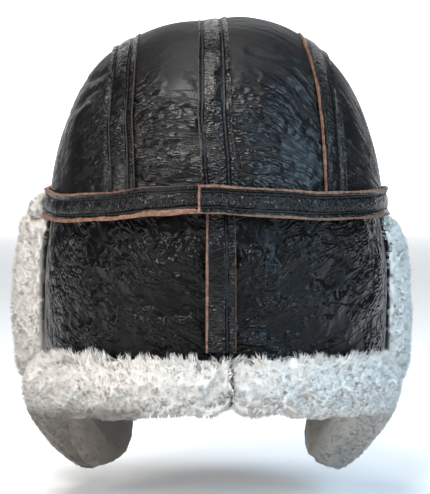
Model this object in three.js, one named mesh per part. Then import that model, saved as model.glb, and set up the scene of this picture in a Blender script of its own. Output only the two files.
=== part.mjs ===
import * as THREE from 'three';

// A leather flying helmet with a wool lining, in millimetres. +Z is up and +Y is towards the face.
// The origin is the middle of the head opening, level with the lower edge of the band.

// Crown: its size outside the leather, the height of its lower edge, and how far its top leans
const crownHalfWidth = 98;
const crownHalfLength = 108;
const crownHeight = 111;
const crownBase = 5;
const crownLean = 11;
const leanPower = 15;
const foldDepth = 3;
const seamDip = 1.5;

// Band round the crown's lower edge, with one end lapped over the other at the back
const bandHeight = 15;
const bandLap = 12;
const bandRise = 4.3;
const bandPuff = 0.45;
const bandFlare = 1.2;
const lapX = -9;

// Neck and ear skirt, and the wool trim along its lower edge
const skirtTuck = 4;
const flapLength = 152;
const neckSeamX = 2.5;
const neckStripWidth = 16.5;
const trimSplitX = 7.5;
const trimOverhang = 5;
const lockDepth = 1.7;

// Brow trim across the forehead
const browHeight = 26;
const browDrop = 8;
const browDepth = 15;

// Thicknesses of leather and wool
const crownLeather = 2;
const skirtLeather = 2;
const stripLeather = 1.3;
const crownStripWidth = 19;
const stripPuff = 0.4;
const bandLeather = 1.8;
const crownWool = 8;
const skirtWool = 12;
const trimWool = 16;

// Gaps between sewn pieces, and between faceted curved layers that lie on each other
const clearance = 0.35;
const layerGap = 0.7;
const liningGap = 0.9;
const seatGap = 1.4;

// Faces along and across the pieces
const archSteps = 24;
const panelSteps = 6;
const bandSteps = 60;
const skirtSteps = 6;
const borderSteps = 3;
const browSteps = 26;
const liningRounds = 23;
const liningRises = 8;

// Crown section: height as a share of the crown's height, and width as a share of its half width
const crownProfile = [
  { up: 0, out: 1 },
  { up: 0.09, out: 1 },
  { up: 0.189, out: 0.98 },
  { up: 0.322, out: 0.949 },
  { up: 0.455, out: 0.899 },
  { up: 0.577, out: 0.845 },
  { up: 0.673, out: 0.782 },
  { up: 0.752, out: 0.718 },
  { up: 0.816, out: 0.647 },
  { up: 0.864, out: 0.578 },
  { up: 0.923, out: 0.443 },
  { up: 0.97, out: 0.245 },
  { up: 1, out: 0 },
];

// Seams over the crown, as shares of its half width, with the strip that covers each: its width at
// the band as a share of the widest strip's, and its narrowing towards the top
const seams = [
  { name: 'left', atBand: -0.525, atTop: -0.535, stripShare: 1, narrowing: 0.94 },
  { name: 'centre', atBand: 0.015, atTop: -0.025, stripShare: 0.98, narrowing: 0.88 },
  { name: 'right', atBand: 0.667, atTop: 0.53, stripShare: 0.82, narrowing: 1 },
];

// Folds and dents of the crown's back: both ends as shares of the half width and the height,
// reach as a share of the height, and depth as a share of the fold depth, outwards positive
const crownFolds = [
  { fromX: -0.82, fromUp: 0.75, toX: -0.66, toUp: 0.88, reach: 0.1, depth: 0.6 },
  { fromX: -0.95, fromUp: 0.5, toX: -0.66, toUp: 0.7, reach: 0.05, depth: -0.9 },
  { fromX: -0.97, fromUp: 0.38, toX: -0.64, toUp: 0.57, reach: 0.055, depth: 0.7 },
  { fromX: -0.96, fromUp: 0.26, toX: -0.66, toUp: 0.42, reach: 0.05, depth: -0.6 },
  { fromX: -0.4, fromUp: 0.52, toX: -0.14, toUp: 0.56, reach: 0.07, depth: 0.4 },
  { fromX: 0.16, fromUp: 0.74, toX: 0.56, toUp: 0.42, reach: 0.05, depth: -0.6 },
  { fromX: 0.18, fromUp: 0.6, toX: 0.58, toUp: 0.26, reach: 0.055, depth: 0.5 },
  { fromX: 0.24, fromUp: 0.4, toX: 0.6, toUp: 0.16, reach: 0.05, depth: -0.7 },
  { fromX: 0.56, fromUp: 0.66, toX: 0.6, toUp: 0.2, reach: 0.05, depth: -0.8 },
];

// Section across a strip: place as a share of its half width, and lift as a share of its puff
const stripSection = [
  { across: -1, lift: 0.6 },
  { across: -0.5, lift: -0.9 },
  { across: 0, lift: 1 },
  { across: 0.5, lift: -0.9 },
  { across: 1, lift: 0.6 },
];

// Section up the band: height as a share of the band's, and lift as a share of its puff
const bandSection = [
  { high: 0, lift: 1 },
  { high: 0.27, lift: -0.8 },
  { high: 0.5, lift: 1 },
  { high: 0.73, lift: -0.8 },
  { high: 1, lift: 1 },
];

// The band's rise above level, as a share of its greatest, by degrees round from the back
const bandLine = [
  { around: -180, rise: 0 },
  { around: -90, rise: 0 },
  { around: -60, rise: -0.45 },
  { around: -36, rise: 0 },
  { around: -20, rise: 0.75 },
  { around: -4, rise: 1 },
  { around: 12, rise: 0.75 },
  { around: 28, rise: 0.15 },
  { around: 45, rise: 0 },
  { around: 90, rise: 0 },
  { around: 180, rise: 0 },
];

// Skirt sections: drop as a share of the flap length, then shares of the crown's half width and of
// its half length behind and before the ears, how much of the crown's inset it keeps, and how
// closely the flaps follow the oval in front of the ears
const skirtSections = [
  { drop: 0, wide: 1, behind: 1, before: 1, inset: 1, hug: 1 },
  { drop: 0.06, wide: 0.996, behind: 0.998, before: 0.99, inset: 0, hug: 0.55 },
  { drop: 0.14, wide: 1.02, behind: 1.015, before: 0.98, inset: 0, hug: 0.25 },
  { drop: 0.35, wide: 1.028, behind: 1.02, before: 0.93, inset: 0, hug: 0.18 },
  { drop: 0.55, wide: 1.025, behind: 1.005, before: 0.87, inset: 0, hug: 0.36 },
  { drop: 0.72, wide: 0.985, behind: 0.97, before: 0.8, inset: 0, hug: 0.56 },
  { drop: 0.86, wide: 0.895, behind: 0.93, before: 0.73, inset: 0, hug: 0.76 },
  { drop: 1, wide: 0.79, behind: 0.88, before: 0.66, inset: 0, hug: 0.96 },
  { drop: 1.1, wide: 0.73, behind: 0.84, before: 0.61, inset: 0, hug: 1.1 },
];

// Lower edge of one side of the skirt, from the back seam round the flap to the temple. Edge, inner
// line of the trim and top line are given by degrees round from the back and by drop as a share of
// the flap length, and pile is the trim's depth as a share of the wool's
const skirtOutline = [
  { around: 0, drop: 0.67, topAround: 0, inAround: 0, inDrop: 0.485, pile: 0.8 },
  { around: 6.5, drop: 0.67, topAround: 6.5, inAround: 6.5, inDrop: 0.485, pile: 1 },
  { around: 16, drop: 0.67, topAround: 15, inAround: 16, inDrop: 0.485, pile: 1 },
  { around: 29, drop: 0.672, topAround: 27, inAround: 29, inDrop: 0.488, pile: 1 },
  { around: 43, drop: 0.68, topAround: 38, inAround: 43, inDrop: 0.495, pile: 1 },
  { around: 57, drop: 0.69, topAround: 49, inAround: 56.5, inDrop: 0.502, pile: 1 },
  { around: 71, drop: 0.71, topAround: 59, inAround: 69, inDrop: 0.518, pile: 1.05 },
  { around: 85, drop: 0.775, topAround: 67, inAround: 80.5, inDrop: 0.565, pile: 0.9 },
  { around: 98, drop: 0.91, topAround: 74, inAround: 90, inDrop: 0.68, pile: 0.75 },
  { around: 110, drop: 0.995, topAround: 80, inAround: 99, inDrop: 0.77, pile: 0.75 },
  { around: 122, drop: 0.955, topAround: 84, inAround: 101, inDrop: 0.76, pile: 0.65 },
  { around: 131, drop: 0.85, topAround: 87, inAround: 101, inDrop: 0.7, pile: 1.1 },
  { around: 134, drop: 0.745, topAround: 88.5, inAround: 99, inDrop: 0.635, pile: 1.85 },
  { around: 131, drop: 0.535, topAround: 89.5, inAround: 97.5, inDrop: 0.475, pile: 1.65 },
  { around: 126, drop: 0.36, topAround: 90, inAround: 96, inDrop: 0.33, pile: 1.45 },
  { around: 121, drop: 0.19, topAround: 90.5, inAround: 94.5, inDrop: 0.18, pile: 1.35 },
  { around: 117, drop: 0.09, topAround: 91, inAround: 93.5, inDrop: 0.085, pile: 1.15 },
  { around: 115.5, drop: 0.042, topAround: 91.5, inAround: 92.5, inDrop: 0.038, pile: 0.6 },
];

// How the two sides differ: the flap's spread at its tip, how many degrees further it wraps
// forwards there, and the depth of its wool
const skirtSides = [
  { name: 'left', sign: -1, spread: 0.03, wrap: 12, pile: 1.06 },
  { name: 'right', sign: 1, spread: -0.025, wrap: 0, pile: 0.84 },
];

// Section through the wool trim, from its upper edge on the leather over its pile to the lining:
// place from the leather's edge (0) to the trim's inner line (1), and lift as a share of the pile
const trimSection = [
  { inward: 1.04, lift: 0.19 },
  { inward: 0.88, lift: 0.62 },
  { inward: 0.64, lift: 0.95 },
  { inward: 0.38, lift: 1 },
  { inward: 0.12, lift: 0.9 },
  { inward: -0.09, lift: 0.55 },
];

// Section through the brow trim: lift outwards from the band's face as a share of the brow depth,
// and height as a share of the way from the trim's lower edge to its upper edge
const browSection = [
  { out: 0.08, high: 0.98 },
  { out: 0.42, high: 1.03 },
  { out: 0.8, high: 0.88 },
  { out: 1, high: 0.6 },
  { out: 0.98, high: 0.32 },
  { out: 0.7, high: 0.08 },
  { out: 0.2, high: -0.03 },
];

// The brow trim's run from the right temple round the forehead to the left ear: its height, depth
// and drop below the band's level as shares, and how far its foot reaches in under the band
const browRun = [
  { around: 122, height: 0.12, depth: 0.3, drop: 0.45, foot: 0 },
  { around: 128, height: 0.45, depth: 0.75, drop: 0.8, foot: 1 },
  { around: 142, height: 0.85, depth: 1, drop: 1, foot: 1 },
  { around: 180, height: 1, depth: 1, drop: 1, foot: 1 },
  { around: 218, height: 0.85, depth: 1, drop: 1, foot: 1 },
  { around: 229, height: 0.68, depth: 1, drop: 0.9, foot: 1 },
  { around: 236, height: 0.6, depth: 0.95, drop: 0.45, foot: 0 },
  { around: 241, height: 0.55, depth: 0.95, drop: 0.1, foot: 0 },
  { around: 253, height: 0.5, depth: 0.85, drop: 0.1, foot: 0 },
  { around: 265, height: 0.46, depth: 0.6, drop: 0.1, foot: 0 },
];

const { clamp, degToRad, lerp, smoothstep } = THREE.MathUtils;

const shares = (steps) => Array.from({ length: Math.round(steps) + 1 }, (_, i) => i / Math.round(steps));

// Reads every column of a table at one value of its key, on a smooth curve through the rows
function readTable(rows, key, at) {
  const last = rows.length - 1;
  const found = rows.findIndex((row, i) => i < last && at <= rows[i + 1][key]);
  const i = found < 0 ? last - 1 : found;
  const [before, here, next, after] = [-1, 0, 1, 2].map((step) => rows[clamp(i + step, 0, last)]);
  const span = next[key] - here[key];
  const s = (at - here[key]) / span;
  const value = {};
  for (const name of Object.keys(here)) {
    const slope = ((next[name] - before[name]) / (next[key] - before[key])) * span;
    const nextSlope = ((after[name] - here[name]) / (after[key] - here[key])) * span;
    value[name] =
      here[name] * (1 + 2 * s) * (1 - s) ** 2 +
      slope * s * (1 - s) ** 2 +
      next[name] * s ** 2 * (3 - 2 * s) +
      nextSlope * s ** 2 * (s - 1);
  }
  return value;
}

// Turns triangles of points into a closed geometry that faces outwards, without empty triangles
function solid(triangles) {
  const full = triangles.filter(([a, b, c]) => {
    const cross = new THREE.Vector3().subVectors(b, a).cross(new THREE.Vector3().subVectors(c, a));
    return cross.length() > 1e-4;
  });
  let volume = 0;
  for (const [a, b, c] of full) volume += a.dot(new THREE.Vector3().crossVectors(b, c));
  const points = full.flatMap(([a, b, c]) => (volume < 0 ? [a, c, b] : [a, b, c]));
  const geometry = new THREE.BufferGeometry().setFromPoints(points);
  geometry.computeVertexNormals();
  return geometry;
}

const quad = (a, b, c, d) => [[a, b, c], [a, c, d]];

// A bent quad folded along the diagonal that lies deeper, so that it never stands proud
function sunkQuad(a, b, c, d, outwards) {
  const rise = a.clone().add(c).sub(b).sub(d).dot(outwards);
  return rise > 0 ? quad(b, c, d, a) : quad(a, b, c, d);
}

// A wall between two grids of points that match row for row and column for column. A looped one
// runs all the way round, with its last row on its first
function wallBetween(outer, inner, looped = false) {
  const triangles = [];
  const rows = outer.length - 1;
  const columns = outer[0].length - 1;
  for (let i = 0; i < rows; i++) {
    for (let j = 0; j < columns; j++) {
      const outwards = outer[i][j].clone().sub(inner[i][j]).add(outer[i + 1][j + 1]).sub(inner[i + 1][j + 1]);
      const face = (grid) => [grid[i][j], grid[i][j + 1], grid[i + 1][j + 1], grid[i + 1][j]];
      triangles.push(...sunkQuad(...face(outer), outwards));
      triangles.push(...sunkQuad(...face(inner), outwards).map(([a, b, c]) => [a, c, b]));
    }
    for (const [j, next] of [[0, 1], [columns, columns - 1]]) {
      const outwards = outer[i][j].clone().sub(outer[i][next]);
      const wall = sunkQuad(outer[i][j], outer[i + 1][j], inner[i + 1][j], inner[i][j], outwards);
      triangles.push(...(j === 0 ? wall : wall.map(([a, b, c]) => [a, c, b])));
    }
  }
  for (let j = 0; j < columns && !looped; j++) {
    triangles.push(...quad(outer[0][j], inner[0][j], inner[0][j + 1], outer[0][j + 1]));
    triangles.push(...quad(outer[rows][j], outer[rows][j + 1], inner[rows][j + 1], inner[rows][j]));
  }
  return solid(triangles);
}

// A body lofted through closed rings of points, whose ends are filled by the rings' flat outlines
function loft(rings) {
  const triangles = [];
  const count = rings[0].points.length;
  for (let i = 0; i < rings.length - 1; i++) {
    const here = rings[i].points;
    const next = rings[i + 1].points;
    for (let j = 0; j < count; j++) {
      const k = (j + 1) % count;
      triangles.push(...quad(here[j], here[k], next[k], next[j]));
    }
  }
  const fill = ({ points, outline }, along) => {
    const turn = THREE.ShapeUtils.area(outline);
    for (const [a, b, c] of THREE.ShapeUtils.triangulateShape(outline, [])) {
      const sameTurn = THREE.ShapeUtils.area([outline[a], outline[b], outline[c]]) * turn > 0;
      const [first, second] = sameTurn === along ? [b, c] : [c, b];
      triangles.push([points[a], points[first], points[second]]);
    }
  };
  fill(rings[0], false);
  fill(rings.at(-1), true);
  return solid(triangles);
}

const crownCurve = new THREE.SplineCurve([
  ...crownProfile.map((row) => new THREE.Vector2(row.out, row.up)),
  new THREE.Vector2(-crownProfile.at(-2).out, crownProfile.at(-2).up),
]);
const apexShare = (crownProfile.length - 1) / crownProfile.length;
const profileAt = (t) => crownCurve.getPoint(t * apexShare);
const leanAt = (up) => crownLean * up ** leanPower;

// A point over the crown, by its angle round from the back and its way up from base to apex
function crownPoint(angle, t, lift) {
  const { x: out, y: up } = profileAt(t);
  const slope = crownCurve.getTangent(t * apexShare);
  const normal = new THREE.Vector3(
    crownHalfLength * crownHeight * slope.y * Math.sin(angle),
    -crownHalfWidth * crownHeight * slope.y * Math.cos(angle),
    -crownHalfWidth * crownHalfLength * slope.x,
  ).normalize();
  return new THREE.Vector3(
    crownHalfWidth * out * Math.sin(angle) + leanAt(up),
    -crownHalfLength * out * Math.cos(angle),
    crownBase + crownHeight * up,
  ).addScaledVector(normal, lift);
}

const seamX = (seam, up) => crownHalfWidth * lerp(seam.atBand, seam.atTop, up ** 3);
const stripWidth = (seam) => crownStripWidth * seam.stripShare;
const halfStrip = (seam, up) =>
  (stripWidth(seam) / 2) * lerp(1, seam.narrowing, up) * Math.sqrt(1 - (seamX(seam, up) / crownHalfWidth) ** 2);

// The nodes of a line over the crown, from the back of the band to the front, at one distance aside
function overCrown(aside) {
  const room = (t) => {
    const { x: out, y: up } = profileAt(t);
    return crownHalfWidth * out - Math.abs(aside(up) - leanAt(up));
  };
  let low = 0;
  let high = 1;
  for (let i = 0; i < 40; i++) {
    const middle = (low + high) / 2;
    if (room(middle) > 0) low = middle;
    else high = middle;
  }
  return shares(archSteps).map((share) => {
    const t = low * Math.sin(Math.PI * share);
    const { x: out, y: up } = profileAt(t);
    const back = Math.asin(clamp((aside(up) - leanAt(up)) / (crownHalfWidth * out), -1, 1));
    const front = (back < 0 ? -Math.PI : Math.PI) - back;
    return { angle: share <= 0.5 ? back : front, t };
  });
}

const bandTopUp = (bandHeight + bandRise - crownBase) / crownHeight;

// How far the stitched seams pull the crown's surface in, from the band upwards
function seamRelief(point) {
  const up = clamp((point.z - crownBase) / crownHeight, 0, 1);
  const pulls = seams.map((seam) => {
    const aside = (point.x - seamX(seam, up)) / stripWidth(seam);
    return Math.exp(-((aside / 0.7) ** 2));
  });
  return -seamDip * Math.max(...pulls) * smoothstep(up, bandTopUp, 2.2 * bandTopUp);
}

// How far the folds push the crown's surface out, none beneath the band and the strips
function crownRelief(point) {
  const up = (point.z - crownBase) / crownHeight;
  const here = new THREE.Vector3(point.x, 0, point.z);
  let relief = 0;
  for (const fold of crownFolds) {
    const from = new THREE.Vector3(fold.fromX * crownHalfWidth, 0, crownBase + fold.fromUp * crownHeight);
    const to = new THREE.Vector3(fold.toX * crownHalfWidth, 0, crownBase + fold.toUp * crownHeight);
    const nearest = new THREE.Line3(from, to).closestPointToPoint(here, true, new THREE.Vector3());
    relief += foldDepth * fold.depth * Math.exp(-((here.distanceTo(nearest) / (fold.reach * crownHeight)) ** 2));
  }
  for (const seam of seams) {
    const aside = Math.abs(point.x - seamX(seam, clamp(up, 0, 1)));
    relief *= smoothstep(aside, halfStrip(seam, clamp(up, 0, 1)) + clearance, stripWidth(seam));
  }
  const faded = smoothstep(up, bandTopUp, 1.6 * bandTopUp) * smoothstep(-point.y / crownHalfLength, 0, 0.2);
  return relief * faded + seamRelief(point);
}

function crownWall(grid) {
  const layer = (depth) =>
    grid.map((line) =>
      line.map(({ angle, t }) => crownPoint(angle, t, crownRelief(crownPoint(angle, t, 0)) - depth)),
    );
  return wallBetween(layer(0), layer(crownLeather));
}

// A crown panel between two seams
function middlePanel(leftSeam, rightSeam) {
  return crownWall(
    shares(panelSteps).map((share) =>
      overCrown((up) =>
        lerp(seamX(leftSeam, up) + clearance / 2, seamX(rightSeam, up) - clearance / 2, share),
      ),
    ),
  );
}

// A crown panel between the outer seam and the band
function sidePanel(seam, sign) {
  const sewn = overCrown((up) => seamX(seam, up) + (sign * clearance) / 2);
  const start = sewn[0].angle;
  const end = sewn.at(-1).angle;
  return crownWall(
    shares(panelSteps).map((share) =>
      sewn.map(({ angle, t }, i) => ({
        angle: lerp(angle, lerp(start, end, i / (sewn.length - 1)), share),
        t: lerp(t, 0, share),
      })),
    ),
  );
}

// A leather strip over a crown seam, from the band at the back to the band at the front
function crownStrip(seam) {
  const outer = [];
  const inner = [];
  for (const { across, lift } of stripSection) {
    const line = overCrown((up) => seamX(seam, up) + across * halfStrip(seam, up));
    const puff = ({ t }) => stripPuff * lift * smoothstep(profileAt(t).y, bandTopUp, 1.5 * bandTopUp);
    const layer = (depth) =>
      line.map(({ angle, t }) =>
        crownPoint(angle, t, layerGap + seamRelief(crownPoint(angle, t, 0)) + depth({ t })),
      );
    outer.push(layer((node) => stripLeather + puff(node)));
    inner.push(layer(() => 0));
  }
  return wallBetween(outer, inner);
}

// A point at a chosen height on the crown's upright wall, lifted outwards
function wallPoint(angle, height, lift) {
  const point = crownPoint(angle, 0, lift);
  point.z = height;
  return point;
}

const bandLevel = (degrees) =>
  bandRise * readTable(bandLine, 'around', ((((degrees + 180) % 360) + 360) % 360) - 180).rise;

// The band lies over the strips at the back and front and close to the crown at the sides
const bandSeat = (angle) =>
  lerp(layerGap + stripLeather + clearance, layerGap, smoothstep(Math.abs(Math.sin(angle)), 0.84, 0.97));

// The band: one strip round the crown, whose first end is lifted over its last
function headBand() {
  const lapAngle = Math.asin(lapX / crownHalfWidth);
  const lapTurn = bandLap / crownHalfLength;
  const outer = [];
  const inner = [];
  for (const share of shares(bandSteps)) {
    const turned = share * (2 * Math.PI + lapTurn);
    const angle = lapAngle + turned;
    const lapped = 1 - smoothstep(turned, 1.25 * lapTurn, 3 * lapTurn);
    const seat = bandSeat(angle) + lapped * (bandLeather + bandPuff + clearance);
    const bottom = bandLevel(THREE.MathUtils.radToDeg(angle));
    const layer = (depth) =>
      bandSection.map(({ high, lift }) => {
        const flare = bandFlare * (1 - high);
        return wallPoint(angle, bottom + high * bandHeight, seat + flare + depth(lift));
      });
    outer.push(layer((lift) => bandLeather + bandPuff * lift));
    inner.push(layer(() => 0));
  }
  return wallBetween(outer, inner);
}

// A point of the skirt's outer face, by angle round from the back and by drop, lifted outwards
function skirtSurface(angle, drop) {
  const row = readTable(skirtSections, 'drop', Math.max(drop, 0));
  const side = skirtSides.find(({ sign }) => sign * angle >= 0) ?? skirtSides[0];
  const inset = row.inset * (crownLeather + 2 * layerGap);
  const aside = Math.abs(Math.sin(angle));
  const ahead = Math.cos(angle) < 0;
  const across = ahead ? 1 - (1 - aside) * row.hug : aside;
  const spread = 1 + side.spread * Math.max(drop, 0) ** 2 * smoothstep(aside, 0, 1);
  const long = crownHalfLength * (ahead ? row.before : row.behind) - inset;
  return new THREE.Vector3(
    Math.sign(Math.sin(angle)) * (crownHalfWidth * row.wide - inset) * across * spread,
    -long * Math.cos(angle),
    -drop * flapLength,
  );
}

function skirtPoint(angle, drop, lift) {
  const step = 0.01;
  const along = skirtSurface(angle + step, drop).sub(skirtSurface(angle - step, drop));
  const down = skirtSurface(angle, drop + step).sub(skirtSurface(angle, drop - step));
  return skirtSurface(angle, drop).addScaledVector(down.cross(along).normalize(), lift);
}

const topDrop = -(crownBase + skirtTuck) / flapLength;
const neckSeamAngle = Math.asin(neckSeamX / crownHalfWidth);
const trimSplitAngle = Math.asin(trimSplitX / crownHalfWidth);

// Columns of the skirt on one side: each runs from the top line to the trim's inner line and on to
// the edge. The last one is the front end of the top line
function skirtColumns(side) {
  const seamAngle = neckSeamAngle + (side.sign * clearance) / 2 / crownHalfLength;
  const columns = skirtOutline.map((row, i) => {
    const turn = (degrees) => (i === 0 ? seamAngle : side.sign * degToRad(degrees));
    const wrap = side.wrap * smoothstep(row.around, 100, 131) * smoothstep(row.drop, 0.3, 0.8);
    return {
      top: { angle: turn(row.topAround), drop: topDrop },
      inner: { angle: turn(row.inAround + 0.5 * wrap), drop: row.inDrop },
      edge: { angle: turn(row.around + wrap), drop: row.drop },
      pile: trimWool * side.pile * row.pile,
    };
  });
  const last = columns.at(-1);
  const corner = { angle: last.inner.angle + side.sign * degToRad(1), drop: topDrop };
  columns.push({ top: corner, inner: corner, edge: { angle: last.edge.angle, drop: topDrop } });
  return columns;
}

const between = (a, b, share) => ({ angle: lerp(a.angle, b.angle, share), drop: lerp(a.drop, b.drop, share) });

function skirtGrid(side) {
  return skirtColumns(side).map(({ top, inner, edge }) => [
    ...shares(skirtSteps).map((share) => between(top, inner, share)),
    ...shares(borderSteps).slice(1).map((share) => between(inner, edge, share)),
  ]);
}

function skirtLayer(grid, from, to) {
  const layer = (lift) => grid.map((line) => line.map(({ angle, drop }) => skirtPoint(angle, drop, lift)));
  return wallBetween(layer(from), layer(to));
}

// The leather strip down the back seam of the skirt, from the crown's edge to the wool trim
function neckStrip() {
  const [seamRow] = skirtOutline;
  const trimWidth = (seamRow.drop - seamRow.inDrop) * flapLength;
  const trimTop = seamRow.inDrop * flapLength - (trimSection[0].inward - 1) * trimWidth - lockDepth;
  const start = (clearance - crownBase) / flapLength;
  const end = (trimTop - clearance) / flapLength;
  const rows = shares(skirtSteps).map((share) => lerp(topDrop, seamRow.inDrop, share));
  const drops = [start, ...rows.filter((drop) => drop > start && drop < end), end];
  const halfTurn = neckStripWidth / 2 / crownHalfLength;
  const layer = (lift) =>
    drops.map((drop) =>
      stripSection.map((point) =>
        skirtPoint(neckSeamAngle + point.across * halfTurn, drop, lift(point.lift, drop > 0)),
      ),
    );
  return wallBetween(
    layer((lift, below) => layerGap + stripLeather + (below ? stripPuff * lift : 0)),
    layer(() => layerGap),
  );
}

// One ring of the wool trim, over the leather from its inner line to its edge and round the edge to
// the lining. Point by point its pile stands higher or lower, as locks of wool do
function trimRing({ inner, edge, pile }, lock, under) {
  const width = skirtPoint(edge.angle, edge.drop, 0).distanceTo(skirtPoint(inner.angle, inner.drop, 0));
  const liningDepth = skirtLeather + liningGap + skirtWool;
  const overhang = trimOverhang / width;
  const fur = [
    ...trimSection.map(({ inward, lift }) => ({ inward, lift: lift * pile })),
    { inward: -0.75 * overhang, lift: 0.45 * pile },
    { inward: -1 * overhang, lift: -0.2 * liningDepth },
    { inward: -0.9 * overhang, lift: -0.75 * liningDepth },
  ].map(({ inward, lift }, i) => {
    const stand = (i + lock) % 2 ? lockDepth : -lockDepth;
    const beyond = i === 0 || inward < 0 ? stand / width : 0;
    const raised = i > 0 && inward > 0 ? stand : 0;
    return { inward: inward + (inward < 0 ? -beyond : beyond), lift: lift + raised };
  });
  const seat = [
    { inward: -3 * layerGap / width, lift: -0.75 * liningDepth },
    { inward: -clearance / width, lift: layerGap },
    ...shares(borderSteps).map((inward) => ({ inward, lift: lerp(layerGap, seatGap, Math.sqrt(inward)) })),
  ];
  const place = ({ inward, lift }) => {
    const node = between(edge, inner, inward);
    return skirtPoint(node.angle, node.drop, lift);
  };
  const bow = (s) => 0.1 * width * s * (1 - s);
  return {
    seat: under ?? seat.map(place),
    points: [...fur.map(place), ...(under ?? seat.map(place))],
    outline: [...fur, ...seat].map(({ inward, lift }) => new THREE.Vector2(inward * width, lift + bow(inward))),
  };
}

// The wool trim of one side, with a ring at each column of the skirt and one between each two
function woolTrim(side) {
  const columns = skirtColumns(side).slice(0, -1);
  const angle = trimSplitAngle + (side.sign * clearance) / 2 / crownHalfLength;
  const split = {
    ...columns[0],
    inner: { angle, drop: columns[0].inner.drop },
    edge: { angle, drop: columns[0].edge.drop },
  };
  if (side.sign > 0) columns.shift();
  const ends = [split, ...columns];
  const main = ends.map((column) => trimRing(column, 0));
  const rings = main.flatMap((ring, i) => {
    if (i === main.length - 1) return [ring];
    const [here, next] = [ends[i], ends[i + 1]];
    const middle = {
      inner: between(here.inner, next.inner, 0.5),
      edge: between(here.edge, next.edge, 0.5),
      pile: (here.pile + next.pile) / 2,
    };
    const under = ring.seat.map((point, j) => point.clone().lerp(main[i + 1].seat[j], 0.5));
    return [ring, trimRing(middle, 1, under)];
  });
  return loft(rings);
}

// The wool trim over the brow, turned up against the band
function browTrim() {
  const first = browRun[0].around;
  const last = browRun.at(-1).around;
  return loft(
    shares(browSteps).map((share, step) => {
      const around = lerp(first, last, share);
      const face = bandSeat(degToRad(around)) + bandFlare + bandLeather + bandPuff + clearance;
      const run = readTable(browRun, 'around', around);
      const top = run.height * browHeight;
      const bottom = -run.drop * browDrop;
      const underBand = Math.max(lerp(bottom, top, 0.15), bandLevel(around) - clearance);
      const foot = lerp(face, -crownLeather, clamp(run.foot, 0, 1));
      const section = [
        ...browSection.map(({ out, high }, i) => ({
          lift: face + out * run.depth * browDepth + ((i + step) % 2 ? 0.5 : -0.5) * lockDepth * out,
          height: lerp(bottom, top, high),
        })),
        { lift: foot, height: lerp(bottom, underBand, 0.15) },
        { lift: foot, height: underBand },
        { lift: face, height: underBand },
        { lift: face, height: lerp(underBand, top, 0.9) },
      ];
      return {
        points: section.map(({ lift, height }) => wallPoint(degToRad(around), height, lift)),
        outline: section.map(({ lift, height }) => new THREE.Vector2(lift, height)),
      };
    }),
  );
}

// The deepest fold close to a point of the crown
function nearbyFold(angle, t) {
  const reach = { turn: 0.12, rise: 0.06 };
  const around = [[0, 0], [-1, 0], [1, 0], [0, -1], [0, 1]].map(([turn, rise]) =>
    crownRelief(crownPoint(angle + turn * reach.turn, clamp(t + rise * reach.rise, 0, 1), 0)),
  );
  return Math.min(0, ...around);
}

// The wool lining of the crown, a dome that stands on the skirt's top line inside every fold
function crownLining() {
  const rimHeight = crownBase + skirtTuck + clearance;
  const layer = (lift) =>
    shares(liningRounds).map((round) => {
      const angle = 2 * Math.PI * round;
      const rises = shares(liningRises).slice(1);
      return [
        wallPoint(angle, rimHeight, lift),
        ...rises.map((t) => crownPoint(angle, t, lift + nearbyFold(t < 1 ? angle : 0, t))),
      ];
    });
  return wallBetween(layer(-crownLeather - liningGap), layer(-crownLeather - liningGap - crownWool), true);
}

const leather = new THREE.MeshStandardMaterial({ color: 0x1f1c1c, roughness: 0.5 });
const stripHide = new THREE.MeshStandardMaterial({ color: 0x2b2625, roughness: 0.5 });
const wool = new THREE.MeshStandardMaterial({ color: 0xe9e3d9, roughness: 1 });
const liningWool = new THREE.MeshStandardMaterial({ color: 0xb8aea2, roughness: 1 });

const helmet = new THREE.Group();

function sew(name, geometry, material) {
  const mesh = new THREE.Mesh(geometry, material);
  mesh.name = name;
  helmet.add(mesh);
}

const [leftSeam, centreSeam, rightSeam] = seams;
sew('crown_side_left', sidePanel(leftSeam, -1), leather);
sew('crown_middle_left', middlePanel(leftSeam, centreSeam), leather);
sew('crown_middle_right', middlePanel(centreSeam, rightSeam), leather);
sew('crown_side_right', sidePanel(rightSeam, 1), leather);
for (const seam of seams) sew(`crown_strip_${seam.name}`, crownStrip(seam), stripHide);
sew('head_band', headBand(), stripHide);
for (const side of skirtSides) {
  const grid = skirtGrid(side);
  const inside = -skirtLeather - liningGap;
  sew(`skirt_${side.name}`, skirtLayer(grid, 0, -skirtLeather), leather);
  sew(`skirt_lining_${side.name}`, skirtLayer(grid, inside, inside - skirtWool), liningWool);
  sew(`trim_${side.name}`, woolTrim(side), wool);
}
sew('neck_strip', neckStrip(), stripHide);
sew('brow_trim', browTrim(), wool);
sew('crown_lining', crownLining(), liningWool);

export default helmet;
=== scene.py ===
import math

import bpy
import numpy as np
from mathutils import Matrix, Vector
from mathutils.bvhtree import BVHTree
from mathutils.kdtree import KDTree


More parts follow.
